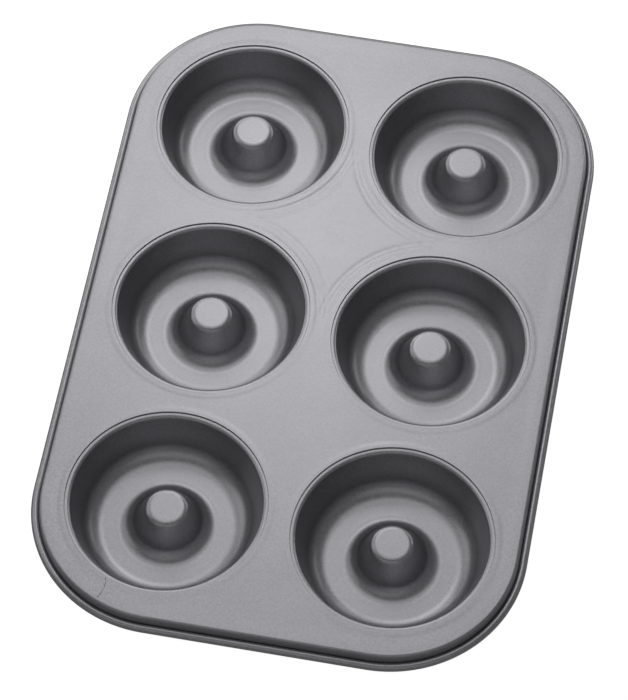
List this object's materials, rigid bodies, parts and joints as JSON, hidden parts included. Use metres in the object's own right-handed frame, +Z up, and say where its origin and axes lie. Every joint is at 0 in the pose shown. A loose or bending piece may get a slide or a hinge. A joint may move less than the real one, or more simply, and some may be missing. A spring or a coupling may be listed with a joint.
{
  "type": "ring cake baking pan",
  "caption": "Shallow rectangular baking pan with round corners, a rolled edge and ring-shaped cups, each with a tapered centre post.",
  "frame": {"origin": "on the surface that the pan stands on, under the middle of the deck", "axes": "+Y along the pan's long side, +X along its short side, +Z up out of the cups"},
  "size_m": [0.2046, 0.3018, 0.0216],
  "materials": {
    "deck_coating": "satin",
    "cup_coating": "satin",
    "wire_steel": "satin"
  },
  "bodies": {
    "root": {"deck": "deck_coating", "cup_back_left": "cup_coating", "cup_back_right": "cup_coating", "cup_middle_left": "cup_coating", "cup_middle_right": "cup_coating", "cup_front_left": "cup_coating", "cup_front_right": "cup_coating", "rim_wire": "wire_steel"}
  },
  "joints": []
}
